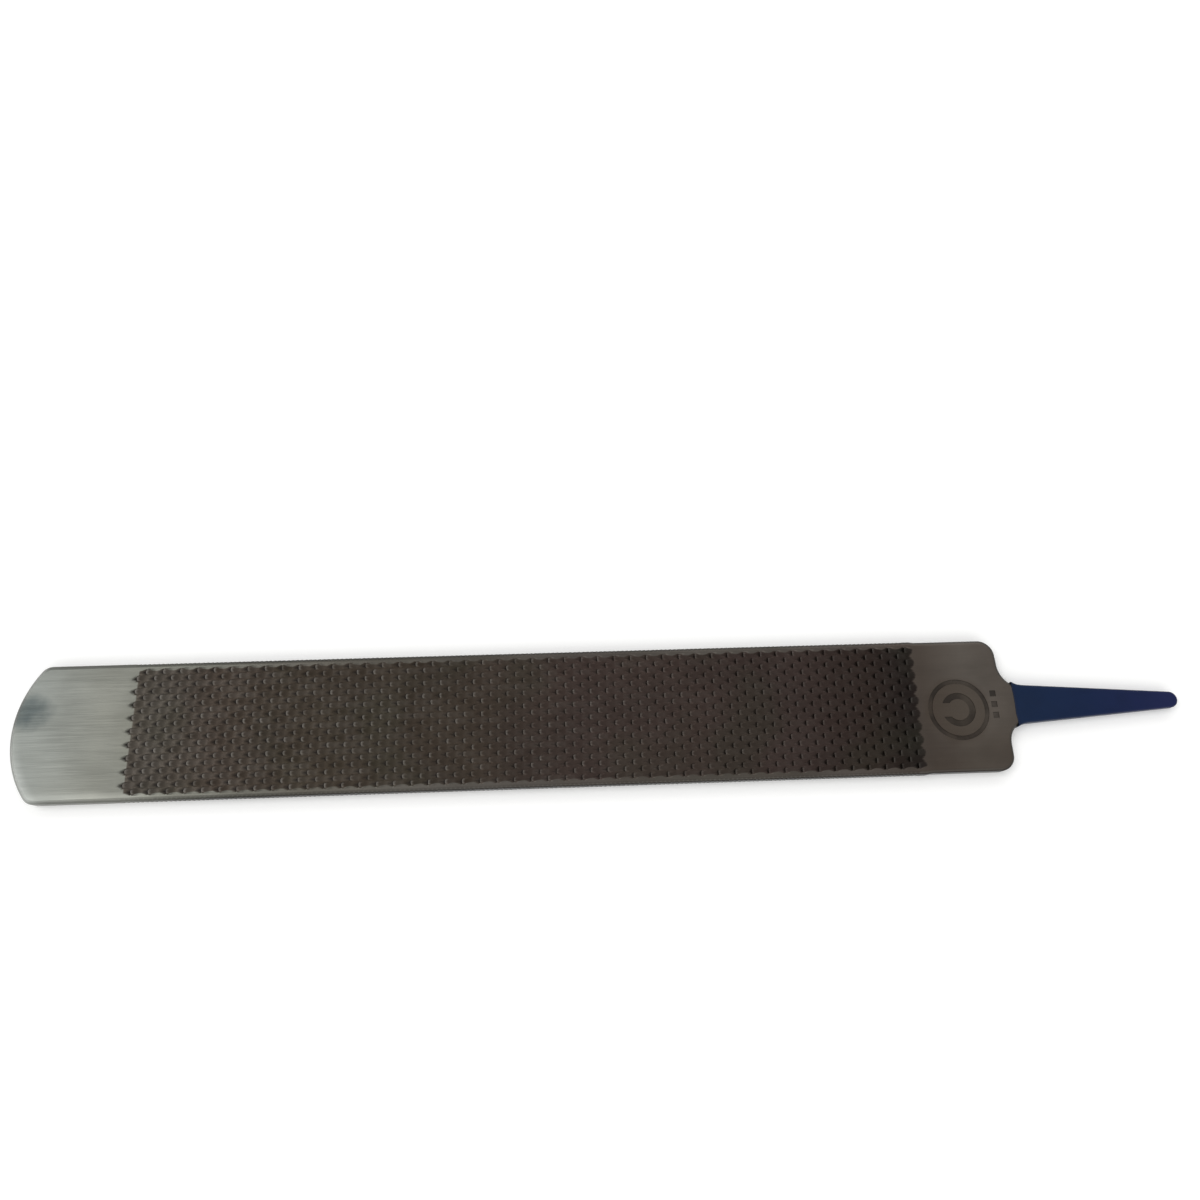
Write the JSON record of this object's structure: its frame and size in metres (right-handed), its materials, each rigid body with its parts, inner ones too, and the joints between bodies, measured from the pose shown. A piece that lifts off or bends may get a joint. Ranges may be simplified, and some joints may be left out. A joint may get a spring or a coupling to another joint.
{
  "type": "farrier rasp",
  "caption": "Flat one-piece steel hoof rasp with a round toe, staggered raised rasp teeth on one face, a file cut on the back, and a tapered bare tang with a blue coat.",
  "frame": {"origin": "middle of the tool's footprint, on the surface the file side rests on", "axes": "+X along the tool from the round toe to the tang, +Y across the blade, +Z out of the rasp side"},
  "size_m": [0.4208, 0.049, 0.0056],
  "materials": {
    "blank_steel": "fine ground hardened steel, lighter at the toe and grey-brown at the heel",
    "tooth_steel": "dark brown-grey hardening skin with lighter worn tips",
    "tang_coat": "semi-gloss navy dip coat"
  },
  "bodies": {
    "root": {"rasp_blank": "blank_steel", "rasp_teeth": "tooth_steel", "tang_coating": "tang_coat"}
  },
  "joints": []
}
